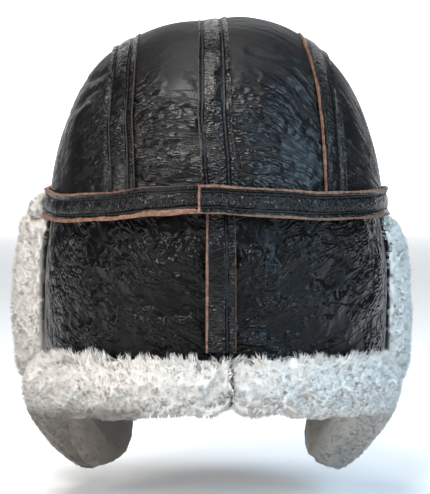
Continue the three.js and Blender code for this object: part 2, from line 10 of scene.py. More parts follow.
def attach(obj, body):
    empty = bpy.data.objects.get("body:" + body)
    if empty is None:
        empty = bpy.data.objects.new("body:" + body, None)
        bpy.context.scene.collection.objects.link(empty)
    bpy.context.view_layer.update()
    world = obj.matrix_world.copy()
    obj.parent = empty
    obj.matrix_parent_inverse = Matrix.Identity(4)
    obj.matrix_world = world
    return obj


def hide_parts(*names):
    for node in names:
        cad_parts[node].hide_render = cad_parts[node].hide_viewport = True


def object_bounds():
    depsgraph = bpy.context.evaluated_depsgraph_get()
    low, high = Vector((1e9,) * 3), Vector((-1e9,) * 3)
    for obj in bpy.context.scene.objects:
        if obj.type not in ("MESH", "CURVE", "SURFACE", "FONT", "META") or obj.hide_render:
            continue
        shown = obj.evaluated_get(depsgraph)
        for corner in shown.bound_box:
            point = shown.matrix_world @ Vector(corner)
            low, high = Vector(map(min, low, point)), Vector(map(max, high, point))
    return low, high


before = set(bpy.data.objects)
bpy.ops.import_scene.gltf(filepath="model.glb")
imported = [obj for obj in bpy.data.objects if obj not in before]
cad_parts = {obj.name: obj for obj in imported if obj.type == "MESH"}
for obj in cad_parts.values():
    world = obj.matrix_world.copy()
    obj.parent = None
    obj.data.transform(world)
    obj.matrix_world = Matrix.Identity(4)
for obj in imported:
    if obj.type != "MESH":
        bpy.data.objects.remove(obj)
cad_box = [list(corner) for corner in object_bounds()]

# The studio. A pale floor lies below the ear flaps and a white screen stands far behind the helmet. A
# broad lamp hangs over the camera and a cool one stands to the right, as daylight from a window does.
# The camera looks at the back of the helmet from 1.2 m away, a little above the band.
camera_away = 1.2
camera_height = 0.049
camera_aside = -0.0006
camera_pitch = math.radians(3.3)
camera_lens = 148.2
floor_drop = 0.012
sky_grey = (0.07, 0.073, 0.08, 1)


def lamp(name, place, size, power, colour):
    """A square soft lamp that points at the middle of the helmet."""
    bpy.ops.object.light_add(type="AREA", location=place)
    made = bpy.context.object
    made.name = name
    made.data.size = size
    made.data.energy = power
    made.data.color = colour
    made.rotation_euler = Vector(place).to_track_quat("Z", "Y").to_euler()


def plain_material(name, colour, roughness, glow=0):
    """One even colour, for the studio and the thread."""
    material = bpy.data.materials.new(name)
    material.use_nodes = True
    shader = material.node_tree.nodes["Principled BSDF"]
    shader.inputs["Base Color"].default_value = (*colour, 1)
    shader.inputs["Roughness"].default_value = roughness
    shader.inputs["Emission Color"].default_value = (*colour, 1)
    shader.inputs["Emission Strength"].default_value = glow
    return material


bpy.ops.object.select_all(action="DESELECT")
bpy.ops.object.camera_add(
    location=(camera_aside, -camera_away, camera_height),
    rotation=(math.pi / 2 - camera_pitch, 0, 0),
)
camera = bpy.context.object
camera.data.lens = camera_lens
camera.data.clip_end = 50
bpy.context.scene.camera = camera

lamp("lamp_over_camera", (-0.5, -1.05, 1.6), 0.8, 35, (1, 0.98, 0.96))
lamp("lamp_right", (1.25, -0.85, 0.8), 1.2, 33, (0.52, 0.77, 1))
lamp("lamp_left", (-1.4, -0.7, 0.7), 0.8, 13, (1, 0.98, 0.96))
lamp("lamp_fill", (-0.1, -1.9, 0.35), 2.2, 4, (1, 1, 1))
lamp("lamp_top", (-0.1, 0.1, 1.6), 0.7, 11, (1, 0.99, 0.97))

world = bpy.data.worlds.new("pale_sky")
world.use_nodes = True
world.node_tree.nodes["Background"].inputs["Color"].default_value = sky_grey
bpy.context.scene.world = world
bpy.context.scene.view_settings.view_transform = "Standard"

bpy.ops.mesh.primitive_plane_add(size=12, location=(0, 0, cad_box[0][2] - floor_drop))
floor = bpy.context.object
floor.name = "floor"
floor.data.materials.append(plain_material("pale_floor", (0.9, 0.9, 0.9), 0.9, 0.12))
bpy.ops.mesh.primitive_plane_add(size=3, location=(0, 3, 0.9), rotation=(math.pi / 2, 0, 0))
screen = bpy.context.object
screen.name = "white_screen"
screen.data.materials.append(plain_material("white_paper", (0.9, 0.9, 0.9), 0.9, 0.95))


# The four crown panels. They are cut from black sheepskin, leather side out, and run from the back of
# the band over the head to its front. The leather is softly creased across, more on the lower half,
# with fans of folds where the panels pull at the seams.
# Leather colours: the first is painted shade for its creases and furrows, the second its worn raised leather
crease_shade_colour = (0.002, 0.0019, 0.002, 1)
leather_worn = (0.009, 0.008, 0.008, 1)
crown_centre = np.array([0, 0, 0.005])
arch_radius = 0.11
panel_levels = 3
bulge_depth = 0.0005
weld = 2e-5
rim_angle = math.radians(55)

# How the creases run on each panel: their slope and their bend towards its right-hand seam, the place
# from which they bend, and how strong they are
panel_creases = {
    "crown_side_left": {"slope": -0.62, "bend": 0.0, "bend_from": 0.0, "strength": 0.8},
    "crown_middle_left": {"slope": 0.04, "bend": 2.0, "bend_from": -0.02, "strength": 1.0},
    "crown_middle_right": {"slope": 0.12, "bend": 9.0, "bend_from": 0.02, "strength": 1.2},
    "crown_side_right": {"slope": 0.5, "bend": 0.0, "bend_from": 0.0, "strength": 0.55},
}

# The deepest folds of each panel: how deep each is, against fold_depth, and where it runs, in
# millimetres right of and above the helmet's middle as it is seen from behind
panel_folds = {
    "crown_side_left": [
        (1, ((-80, 96), (-72, 99), (-63, 104))),
        (1.2, ((-83, 82), (-76, 89), (-70, 93), (-62, 96))),
        (0.8, ((-86, 77), (-78, 85), (-70, 89))),
        (1, ((-80, 58), (-74, 55), (-65, 55))),
        (1, ((-83, 52), (-74, 52), (-65, 52))),
        (0.7, ((-74, 70), (-70, 66), (-65, 62))),
        (0.6, ((-88, 62), (-81, 67), (-73, 71))),
    ],
    "crown_middle_left": [
        (1.2, ((-47, 86), (-39, 85), (-31, 84), (-23, 82), (-12, 81))),
        (0.7, ((-47, 81), (-39, 80), (-31, 79))),
        (1, ((-47, 75), (-39, 75), (-31, 75))),
        (0.8, ((-43, 99), (-39, 94), (-34, 93))),
        (0.8, ((-17, 103), (-13, 100), (-11, 96))),
        (0.8, ((-36, 49), (-27, 51), (-15, 52))),
        (1, ((-48, 43), (-41, 38), (-34, 35))),
        (1.1, ((-31, 35), (-19, 40), (-11, 43))),
    ],
    "crown_middle_right": [
        (1.1, ((19, 116), (30, 112), (39, 110), (51, 108), (57, 103))),
        (1.3, ((17, 96), (28, 95), (38, 89), (46, 83), (55, 76), (60, 71))),
        (1.3, ((19, 79), (30, 78), (39, 77), (47, 71), (55, 66), (61, 62))),
        (1.1, ((40, 81), (51, 77), (60, 71))),
        (1, ((13, 65), (30, 62), (39, 59), (49, 59), (56, 59))),
        (0.7, ((37, 117), (44, 111), (48, 108))),
        (0.7, ((46, 103), (53, 97), (59, 91))),
        (0.7, ((39, 55), (51, 48), (60, 43))),
        (0.7, ((44, 97), (52, 88), (60, 82))),
    ],
}
fold_depth = 0.0013
fold_reach = 0.0016
fold_rim = 0.35
rim_reach = 2.4
sight_slope = 0.0577


class Shade:
    """An output of a material's nodes. Sums and products of it add Math nodes, and node() adds any other."""

    def __init__(self, tree, socket=None):
        self.tree = tree
        self.socket = socket

    def node(self, kind, settings=None, inputs=None, output=0):
        made = self.tree.nodes.new("ShaderNode" + kind)
        for name, value in (settings or {}).items():
            setattr(made, name, value)
        for name, value in (inputs or {}).items():
            if isinstance(value, Shade):
                self.tree.links.new(value.socket, made.inputs[name])
            else:
                made.inputs[name].default_value = value
        return Shade(self.tree, made.outputs[output])

    def math(self, operation, *values):
        return self.node("Math", {"operation": operation}, dict(enumerate((self,) + values)))

    def __add__(self, other):
        return self.math("ADD", other)

    def __sub__(self, other):
        return self.math("SUBTRACT", other)

    def __rsub__(self, other):
        return (self * -1.0).math("ADD", other)

    def __mul__(self, other):
        return self.math("MULTIPLY", other)

    def __truediv__(self, other):
        return self.math("DIVIDE", other)

    __radd__ = __add__
    __rmul__ = __mul__

    def step(self, start, end, low=0.0, high=1.0):
        """Rises smoothly from low to high as this value goes from start to end."""
        inputs = {"Value": self, "From Min": start, "From Max": end, "To Min": low, "To Max": high}
        return self.node("MapRange", {"interpolation_type": "SMOOTHSTEP"}, inputs)

    def noise(self, scale, detail=2.0, roughness=0.5):
        inputs = {"Vector": self, "Scale": scale, "Detail": detail, "Roughness": roughness}
        return self.node("TexNoise", {}, inputs)

    def tint(self, low, high):
        """A colour between two, by this value."""
        return self.node("Mix", {"data_type": "RGBA"}, {0: self, 6: low, 7: high}, output=2)


def attribute(shade, name):
    return shade.node("Attribute", {"attribute_name": name}, output=2)


def skin_place(shade, length, width, seed):
    """The skin map, counted in a length along the creases and a width across them."""
    skin = shade.node("UVMap", {"uv_map": "skin"})
    along = skin.node("SeparateXYZ", inputs={"Vector": skin})
    across = skin.node("SeparateXYZ", inputs={"Vector": skin}, output=1)
    return shade.node("CombineXYZ", inputs={"X": along / length, "Y": across / width, "Z": seed})


def bent(place, scale, detail, bend):
    """A place on the skin map, moved about by noise."""
    drift = place.node("TexNoise", {}, {"Vector": place, "Scale": scale, "Detail": detail}, output=1)
    moved = {0: drift, 1: (bend, bend, 0), 2: place}
    return place.node("VectorMath", {"operation": "MULTIPLY_ADD"}, moved)


def cells(shade, length, width, furrow, bend, seed):
    """Raised cells of leather with furrows between them, 1 on the cells and 0 in the furrows."""
    place = bent(skin_place(shade, length, width, seed), 0.6, 2.0, bend)
    kind = {"feature": "DISTANCE_TO_EDGE", "voronoi_dimensions": "2D"}
    return place.node("TexVoronoi", kind, {"Vector": place, "Scale": 1.0}).step(0.0, furrow)


def creases(shade, length, width, bend, seed):
    """Long wavy creases, 1 between them and 0 in them, along the contour lines of a stretched noise."""
    place = bent(skin_place(shade, length, width, seed), 0.3, 1.0, bend)
    return (place.noise(1.0, 1.5, 0.5) - 0.5).math("ABSOLUTE").step(0.0, 0.05)


def leather_material(name, folds, wrinkles, pebbles, gloss, shine, smooth_top=False, marks=False):
    """Black leather. Folds, wrinkles and pebbles are (length, width, depth) of its cells, with depths in
    millimetres. With smooth_top the creases fade out and the gloss dulls high on the crown. With marks it
    reads a strip's raw edges and stitch grooves from its attributes."""
    material = bpy.data.materials.new(name)
    material.use_nodes = True
    tree = material.node_tree
    shader = tree.nodes["Principled BSDF"]
    shade = Shade(tree)
    place = shade.node("TexCoord", output=3)
    patches = place.noise(30.0, 3.0, 0.6)
    where = patches.step(0.4, 0.6, 0.08, 1.0)
    if smooth_top:
        top = place.node("SeparateXYZ", inputs={"Vector": place}, output=2).step(0.065, 0.09)
        where = where * (1 - top * 0.85)
    fold = creases(shade, folds[0], folds[1], 2.0, 1.7)
    wrinkle = cells(shade, wrinkles[0], wrinkles[1], 0.42, 0.55, 4.1)
    pebble = cells(shade, pebbles[0], pebbles[1], 0.5, 0.3, 8.3)
    swell = skin_place(shade, folds[0] * 0.7, folds[1] * 1.1, 6.2).noise(1.0, 1.0, 0.5)
    height = (fold * folds[2] + swell * (2.6 * folds[2])) * where
    height = height + wrinkle * wrinkles[2] * where + pebble * pebbles[2]
    # Painted shade and wear: the colour darkens in the creases and furrows, where shade falls, and pales on
    # the raised leather, where it is worn
    wear_and_crease_shade = (fold * 0.4 + wrinkle * 0.4 + pebble * 0.2) * patches.step(0.3, 0.65, 0.3, 1.0)
    colour = wear_and_crease_shade.tint(crease_shade_colour, leather_worn)
    roughness = patches.step(0.3, 0.7, gloss + 0.06, gloss - 0.05) + (1 - fold) * 0.3
    if smooth_top:
        roughness = roughness + fold * top * 0.26
    if marks:
        raw_noise = place.noise(420.0, 2.0, 0.6)
        raw = (attribute(shade, "raw") + (raw_noise - 0.5) * 0.7).step(0.0, 0.16)
        groove = attribute(shade, "groove").step(0.25, 1.0)
        hide = raw_noise.step(0.35, 0.65).tint(raw_deep, raw_light)
        hide = attribute(shade, "bright").tint(raw_dull, hide)
        furrow = groove.tint(groove_dark, colour)
        colour = raw.tint(furrow, hide)
        roughness = roughness + raw * 0.4 + (1 - groove) * 0.15
        height = height * groove * (1 - raw) + raw * (raw_noise * 0.4)
    bump = shade.node("Bump", {}, {"Height": height, "Distance": 0.001, "Strength": 1.0})
    tree.links.new(colour.socket, shader.inputs["Base Color"])
    tree.links.new(roughness.socket, shader.inputs["Roughness"])
    tree.links.new(bump.socket, shader.inputs["Normal"])
    shader.inputs["Specular IOR Level"].default_value = shine
    return material


def values_of(piece, what="co"):
    """The places or normals of a piece's points as an array."""
    values = np.empty(len(piece.data.vertices) * 3, np.float32)
    piece.data.vertices.foreach_get(what, values)
    return values.reshape(-1, 3).astype(float)


def move_points(piece, points):
    piece.data.vertices.foreach_set("co", points.astype(np.float32).ravel())
    piece.data.update()


def unit(vectors):
    return vectors / np.maximum(np.linalg.norm(vectors, axis=1), 1e-9)[:, None]


def smooth(value, start, end):
    """Rises smoothly from 0 to 1 as a value goes from start to end."""
    share = np.clip((value - start) / (end - start), 0, 1)
    return share * share * (3 - 2 * share)


def lumps(points, size, seed):
    """Soft noise from -1 to 1 over points, with lumps of one size or of one size along each axis."""
    values = np.random.default_rng(seed).uniform(-1, 1, (32, 32, 32))
    place = points / np.asarray(size)
    cell = np.floor(place).astype(int)
    part = place - cell
    part = part * part * (3 - 2 * part)
    total = np.zeros(len(points))
    for corner in np.ndindex(2, 2, 2):
        weight = np.where(corner, part, 1 - part).prod(axis=1)
        i, j, k = ((cell + corner) % 32).T
        total += weight * values[i, j, k]
    return total


def outer_face(normals, outwards):
    """1 where a piece faces outwards and 0 on its edges and inner side."""
    return smooth((normals * outwards).sum(axis=1), 0.3, 0.6)


def pick(piece):
    """Selects one piece alone."""
    bpy.ops.object.select_all(action="DESELECT")
    piece.select_set(True)
    bpy.context.view_layer.objects.active = piece


def copy_of(node, levels):
    """A new piece with a frame node's form: points joined, rims kept sharp and faces divided."""
    piece = bpy.data.objects.new(node + "_piece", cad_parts[node].data.copy())
    bpy.context.scene.collection.objects.link(piece)
    pick(piece)
    piece.data.materials.clear()
    bpy.ops.mesh.customdata_custom_splitnormals_clear()
    bpy.ops.object.mode_set(mode="EDIT")
    bpy.ops.mesh.select_all(action="SELECT")
    bpy.ops.mesh.remove_doubles(threshold=weld)
    bpy.ops.mesh.tris_convert_to_quads(
        face_threshold=math.radians(50), shape_threshold=math.radians(65)
    )
    bpy.ops.mesh.select_mode(type="EDGE")
    bpy.ops.mesh.select_all(action="DESELECT")
    bpy.ops.mesh.edges_select_sharp(sharpness=rim_angle)
    bpy.ops.transform.edge_crease(value=1)
    bpy.ops.object.mode_set(mode="OBJECT")
    divide = piece.modifiers.new("divide", "SUBSURF")
    divide.levels = divide.render_levels = levels
    bpy.ops.object.modifier_apply(modifier=divide.name)
    bpy.ops.object.shade_smooth_by_angle(angle=rim_angle)
    return piece


def lay_skin(piece, along, across):
    """The skin map of a piece, in metres: along its creases, and across them."""
    corners = np.empty(len(piece.data.loops), np.int32)
    piece.data.loops.foreach_get("vertex_index", corners)
    skin = piece.data.uv_layers.new(name="skin")
    skin.data.foreach_set("uv", np.column_stack([along, across])[corners].astype(np.float32).ravel())
    piece.data.uv_layers.active = skin


def set_attribute(piece, name, values):
    made = piece.data.attributes.new(name, "FLOAT", "POINT")
    made.data.foreach_set("value", values.astype(np.float32))


def crease_form(along, across, seed):
    """Raised leather between creases, from about -1 in a crease to 1, in the skin's own directions."""
    place = np.column_stack([along, across, np.full(len(along), 0.004)])
    wide = lumps(place, (0.03, 0.0066, 0.01), seed)
    narrow = lumps(place + 0.005, (0.015, 0.0034, 0.01), seed + 1)
    return np.sqrt(np.abs(wide)) * 1.1 + np.sqrt(np.abs(narrow)) * 0.7 - 1


def seen_from_behind(points):
    """Points as the camera sees them, in metres right of and above the helmet's middle."""
    away = camera_away + points[:, 1]
    above = (points[:, 2] - camera_height) / away + sight_slope
    return np.column_stack([points[:, 0] / away, above]) * camera_away


def pressed_folds(points, folds):
    """How far folds press points in, as a share of fold_depth, with a low rim raised beside each."""
    seen = seen_from_behind(points)
    total = np.zeros(len(points))
    for depth, line in folds:
        line = np.array(line) / 1000
        nearest = np.full(len(points), np.inf)
        for start, end in zip(line[:-1], line[1:]):
            run = end - start
            share = np.clip((seen - start) @ run / run.dot(run), 0, 1)
            nearest = np.minimum(nearest, np.linalg.norm(seen - start - share[:, None] * run, axis=1))
        dent = np.exp(-((nearest / fold_reach) ** 2))
        rim = np.exp(-((nearest / fold_reach / rim_reach) ** 2))
        total += depth * dent - fold_rim * depth * rim
    return total * (points[:, 1] < 0)


def finish(piece, node, slot, material):
    piece.data.materials.append(material)
    piece.name = node + "_leather" if "leather" in slot else node + "_wool"
    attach(piece, "root")
    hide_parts(node)


crown_leather = leather_material(
    "creased_black_leather",
    folds=(0.026, 0.0058, 0.8),
    wrinkles=(0.006, 0.002, 0.3),
    pebbles=(0.0014, 0.0011, 0.04),
    gloss=0.25,
    shine=0.26,
    smooth_top=True,
)
for node, run in panel_creases.items():
    panel = copy_of(node, panel_levels)
    points = values_of(panel)
    normals = values_of(panel, "normal")
    outwards = unit(points - crown_centre)
    outer = outer_face(normals, outwards)
    arch = np.arctan2(points[:, 2] - crown_centre[2], -points[:, 1]) * arch_radius
    beyond = np.clip(points[:, 0] - run["bend_from"], 0, None)
    across = arch + run["slope"] * points[:, 0] + run["bend"] * beyond**2
    across += 0.002 * lumps(points, 0.028, 5)
    form = crease_form(points[:, 0], across, 11) * run["strength"]
    lower = smooth(arch, 0.2, 0.1) * 0.75 + 0.25
    patches = 0.65 + 0.35 * lumps(points, 0.03, 7)
    swell = lumps(points, 0.022, 8) * 0.9
    pressed = fold_depth * pressed_folds(points, panel_folds.get(node, []))
    move = (bulge_depth * (form * lower * patches + swell) - pressed) * outer
    move_points(panel, points + normals * move[:, None])
    lay_skin(panel, points[:, 0] - run["slope"] * arch, across)
    finish(panel, node, "panel_leather", crown_leather)


# The three strips over the crown's seams. Each is a narrow strip of the same leather, cut raw and
# stitched down along both sides, so that its tan edges show and it swells between two grooves. The
# strips are pulled tight over the head, which wrinkles them finely across.
raw_light = (0.24, 0.125, 0.083, 1)
raw_deep = (0.13, 0.062, 0.038, 1)
raw_dull = (0.06, 0.04, 0.025, 1)
groove_dark = (0.0035, 0.0033, 0.0036, 1)
strip_levels = 3
groove_depth = 0.0006
groove_reach = 0.0008
stitch_pitch = 0.0042
stitch_length = 0.0027
thread_width = 0.0007
thread_sunk = 0.00005

# Widths in millimetres of each strip's raw edges and how bright they are, and the distances of its
# stitch grooves from the edges and the factor that they are widened by, left and right. Then how far
# the strip strays to the right of its seam at the back, by height, both in millimetres
crown_strips = {
    "crown_strip_left": {
        "raw": (0.15, 0.35),
        "bright": (0.05, 0.3),
        "groove": (3.0, 4.2),
        "wide": (1.2, 1.3),
        "height": (16, 37, 56, 89, 105),
        "right": (-0.6, -2, -3, -1.2, 0),
    },
    "crown_strip_centre": {
        "raw": (0.35, 0.2),
        "bright": (0.2, 0.1),
        "groove": (2.2, 3.9),
        "wide": (1.3, 1.5),
        "height": (12, 20, 56, 90, 105),
        "right": (1.2, 0.6, -1.8, -0.8, 0),
    },
    "crown_strip_right": {
        "raw": (1.7, 0.2),
        "bright": (1.0, 0.1),
        "groove": (3.6, 3.4),
        "wide": (1.0, 2.2),
        "height": (16, 50, 105),
        "right": (0, 0.4, 0),
    },
}


def share_across(along, across, bins):
    """Where points lie across a strip, from -1 at its low edge to 1 at its high edge, and its width."""
    which = ((along - along.min()) / np.ptp(along) * (bins - 1e-6)).astype(int)
    low = np.full(bins, np.inf)
    high = np.full(bins, -np.inf)
    np.minimum.at(low, which, across)
    np.maximum.at(high, which, across)
    middles = along.min() + (np.arange(bins) + 0.5) * np.ptp(along) / bins
    filled = high - low > 0.001
    low = np.interp(along, middles[filled], low[filled])
    high = np.interp(along, middles[filled], high[filled])
    return 2 * (across - low) / (high - low) - 1, high - low


def line_on(points, normals, mask, along, across, place, steps):
    """Points and normals along a line on a strip's face, at one place across it."""
    which = ((along - along.min()) / np.ptp(along) * (steps - 1e-6)).astype(int)
    distance = np.where(mask, np.abs(across - place), np.inf)
    order = np.lexsort((distance, which))
    first = order[np.unique(which[order], return_index=True)[1]]
    first = first[distance[first] < 0.2]
    return points[first], normals[first]


def stitches(name, lines, pitch, length, seed):
    """Stitches of thread along lines of points, as one joined mesh."""
    bpy.ops.object.select_all(action="DESELECT")
    bpy.ops.mesh.primitive_uv_sphere_add(segments=5, ring_count=4, radius=0.5)
    bead = bpy.context.object
    form = values_of(bead)
    faces = [list(face.vertices) for face in bead.data.polygons]
    form *= (thread_width, thread_width, length)
    bpy.data.objects.remove(bead)
    rng = np.random.default_rng(seed)
    places, all_faces = [], []
    for points, normals in lines:
        steps = np.linalg.norm(np.diff(points, axis=0), axis=1)
        run = np.concatenate([[0], np.cumsum(steps)])
        stations = np.arange(pitch, run[-1] - pitch, pitch)
        at = np.column_stack([np.interp(stations, run, points[:, i]) for i in range(3)])
        ahead = np.column_stack([np.interp(stations + pitch / 3, run, points[:, i]) for i in range(3)])
        up = np.column_stack([np.interp(stations, run, normals[:, i]) for i in range(3)])
        for centre, forward, lift in zip(at, ahead, up):
            lift /= np.linalg.norm(lift)
            direction = forward - centre + rng.normal(0, 0.00008, 3)
            direction -= lift * direction.dot(lift)
            direction /= np.linalg.norm(direction)
            side = np.cross(lift, direction)
            start = len(places) * len(form)
            places.append(centre - lift * thread_sunk + form @ np.array([side, lift, direction]))
            all_faces += [[corner + start for corner in face] for face in faces]
    mesh = bpy.data.meshes.new(name)
    mesh.from_pydata(np.concatenate(places), [], all_faces)
    mesh.materials.append(thread)
    piece = bpy.data.objects.new(name, mesh)
    bpy.context.scene.collection.objects.link(piece)
    pick(piece)
    bpy.ops.object.shade_smooth()
    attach(piece, "root")


def sway(points, row):
    """Points of a strip, turned about the crown's middle by what the strip strays from its seam."""
    back = smooth(-points[:, 1], 0, 0.03)
    right = np.interp(points[:, 2] * 1000, row["height"], row["right"]) / 1000
    right += 0.00025 * lumps(points, 0.012, 25)
    turn = back * right / np.maximum(np.hypot(points[:, 0], points[:, 1]), 0.03)
    x = points[:, 0] * np.cos(turn) - points[:, 1] * np.sin(turn)
    y = points[:, 0] * np.sin(turn) + points[:, 1] * np.cos(turn)
    return np.column_stack([x, y, points[:, 2]])


def mark_strip(piece, share, width, row, outer):
    """Stores a strip's raw edges and grooves, and presses the grooves in. Widths are in millimetres."""
    from_left = (1 + share) / 2 * width * 1000
    from_right = (1 - share) / 2 * width * 1000
    points = values_of(piece)
    ragged = 1 + 0.35 * lumps(points, 0.009, 21)
    raw = np.maximum(row["raw"][0] * ragged - from_left, row["raw"][1] * ragged - from_right)
    stray = 0.45 * lumps(points, 0.011, 22)
    left_groove = np.abs(from_left - row["groove"][0] + stray) / row["wide"][0]
    groove = np.minimum(left_groove, np.abs(from_right - row["groove"][1] + stray) / row["wide"][1])
    set_attribute(piece, "raw", np.where(outer > 0.5, raw, np.maximum(raw, 0.4)))
    set_attribute(piece, "groove", groove)
    set_attribute(piece, "bright", np.where(share < 0, row["bright"][0], row["bright"][1]))
    return -groove_depth * np.exp(-((groove / (groove_reach * 1000)) ** 2)) * outer


strip_leather = leather_material(
    "strip_leather",
    folds=(0.011, 0.005, 0.6),
    wrinkles=(0.0036, 0.0018, 0.6),
    pebbles=(0.0013, 0.0011, 0.04),
    gloss=0.19,
    shine=0.27,
    marks=True,
)
thread = plain_material("black_thread", (0.012, 0.009, 0.009), 0.6)
seam_lines = []
for node, row in crown_strips.items():
    strip = copy_of(node, strip_levels)
    points = values_of(strip)
    normals = values_of(strip, "normal")
    outwards = unit(points - crown_centre)
    outer = outer_face(normals, outwards)
    arch = np.arctan2(points[:, 2] - crown_centre[2], -points[:, 1]) * arch_radius
    share, width = share_across(arch, points[:, 0], 160)
    press = mark_strip(strip, share, width, row, outer)
    wrinkles = crease_form(points[:, 0], arch * 1.4, 31) * 0.00028
    wrinkles *= smooth(arch, 0.2, 0.1) * 0.7 + 0.3
    curl = 0.0004 * smooth(np.abs(share), 0.86, 1.0) * smooth(arch, 0.12, 0.08)
    sunk = 0.0005 + 0.0009 * smooth(arch, 0.09, 0.14)
    move = press + (wrinkles * (1 - smooth(np.abs(share), 0.75, 0.95)) + curl) * outer
    points = sway(points + normals * move[:, None] - outwards * sunk[:, None], row)
    move_points(strip, points)
    lay_skin(strip, points[:, 0] + arch * 0.35, arch)
    finish(strip, node, "strip_leather", strip_leather)
    for side, distance in zip((-1, 1), row["groove"]):
        place = side * (1 - 2 * distance / (np.median(width) * 1000))
        seam_lines.append(line_on(points, normals, outer > 0.9, arch, share, place, 180))
stitches("crown_stitches", seam_lines, stitch_pitch, stitch_length, 3)


# The head band. It is one raw-edged strip of leather wrapped round the crown's lower edge, stitched
# along both sides, with its right-hand end lapped over the other end just left of the back's middle.
# Its lower edge stands away from the skirt, so that the cut hide shows widest left of the lap.
band_levels = 3
band_x, band_y = 0.098, 0.108
lap_x = -0.009
lap_lift = 0.0036
band_groove = 3.3
band_pitch = 0.0044
band_stitch = 0.0028

# Raw edge widths in millimetres and brightness, by degrees round from the back
band_edges = [
    {"around": -180, "top": 0.9, "top_bright": 0.5, "bottom": 0.9, "bottom_bright": 0.5},
    {"around": -88, "top": 1.2, "top_bright": 0.9, "bottom": 1.1, "bottom_bright": 0.75},
    {"around": -60, "top": 1.0, "top_bright": 0.95, "bottom": 1.5, "bottom_bright": 0.9},
    {"around": -26, "top": 0.75, "top_bright": 0.6, "bottom": 2.2, "bottom_bright": 0.95},
    {"around": -14, "top": 0.5, "top_bright": 0.15, "bottom": 2.9, "bottom_bright": 1.0},
    {"around": -5.6, "top": 0.5, "top_bright": 0.2, "bottom": 2.5, "bottom_bright": 1.0},
    {"around": -5.1, "top": 1.2, "top_bright": 1.0, "bottom": 0.5, "bottom_bright": 0.3},
    {"around": 6, "top": 1.5, "top_bright": 1.0, "bottom": 0.8, "bottom_bright": 0.35},
    {"around": 20, "top": 1.15, "top_bright": 1.0, "bottom": 1.1, "bottom_bright": 0.55},
    {"around": 88, "top": 1.0, "top_bright": 0.65, "bottom": 0.9, "bottom_bright": 0.5},
    {"around": 180, "top": 0.9, "top_bright": 0.5, "bottom": 0.9, "bottom_bright": 0.5},
]

band = copy_of("head_band", band_levels)
points = values_of(band)
normals = values_of(band, "normal")
outwards = unit(points * (1 / band_x**2, 1 / band_y**2, 0))
outer = outer_face(normals, outwards)
around = np.degrees(np.arctan2(points[:, 0] / band_x, -points[:, 1] / band_y))
share, height = share_across(around, points[:, 2], 120)
from_low = (1 + share) / 2 * height * 1000
from_top = (1 - share) / 2 * height * 1000
table = {key: [row[key] for row in band_edges] for key in band_edges[0]}
reads = {key: np.interp(around, table["around"], table[key]) for key in table}
lifted = np.hypot(points[:, 0] / band_x, points[:, 1] / band_y) - 1 > lap_lift / band_y * 1.75
past_lap = np.radians(around) * band_x - lap_x
near_end = np.where(lifted & (past_lap > -0.001) & (past_lap < 0.006), 1.1 - past_lap * 1000, -9)
ragged = 1 + 0.3 * lumps(points, 0.008, 41)
raw = np.maximum(reads["top"] * ragged - from_top, reads["bottom"] * ragged - from_low)
groove = np.minimum(np.abs(from_low - band_groove), np.abs(from_top - band_groove))
raw = np.maximum(raw, near_end)
bright = np.where(share > 0, reads["top_bright"], reads["bottom_bright"])
set_attribute(band, "raw", np.where(outer > 0.5, raw, np.maximum(raw, 0.4)))
set_attribute(band, "groove", groove)
set_attribute(band, "bright", np.where(near_end > -1, 1.0, bright))
press = -groove_depth * np.exp(-((groove / (groove_reach * 1000)) ** 2))
swell = 0.0004 * lumps(points, (0.011, 0.011, 0.02), 42) + 0.0002 * lumps(points, 0.0045, 43)
curl = 0.0009 * smooth(reads["bottom"] - from_low, -0.5, 1.5)
curl += 0.0004 * smooth(reads["top"] - from_top, -0.4, 0.6)
move = (press + swell + curl) * outer
points = points + normals * move[:, None]
points[:, 2] += 0.0005 * lumps(points, (0.014, 0.014, 0.05), 44)
move_points(band, points)
lay_skin(band, points[:, 2] * 1.2, np.radians(around) * band_x)
finish(band, "head_band", "strip_leather", strip_leather)
band_lines = []
for side in (-1, 1):
    place = side * (1 - 2 * band_groove / (np.median(height) * 1000))
    band_lines.append(line_on(points, normals, outer > 0.9, around, share, place, 360))
stitches("band_stitches", band_lines, band_pitch, band_stitch, 4)


# The neck and ear skirt. Each half is cut from the same sheepskin, leather side out, sewn to the crown
# under the band and to the other half at the back, and shaped down into an ear flap. Its leather is
# wrinkled and pebbled, with slanting wrinkles on the left and gathers below the band on the right.
skirt_levels = 3
skirt_swell = 0.0008
gather_depth = 0.0019
gather_width = 0.0052
flap_edge_rise = 0.003

# Which way the wrinkles run on each half, as parts across and down, and how far and widely they waver
skirt_runs = {
    "left": {"across": 0.82, "down": 0.57, "waver": 0.003, "waver_size": 0.035, "seed": 51},
    "right": {"across": 0.94, "down": -0.33, "waver": 0.005, "waver_size": 0.03, "seed": 52},
}


def leather_run(run, points, across_x):
    """The skin's directions on the skirt: along the slanting wrinkles, and across them."""
    along = run["across"] * across_x - run["down"] * points[:, 2]
    across = run["across"] * points[:, 2] + run["down"] * across_x
    return along, across + run["waver"] * lumps(points, run["waver_size"], run["seed"])


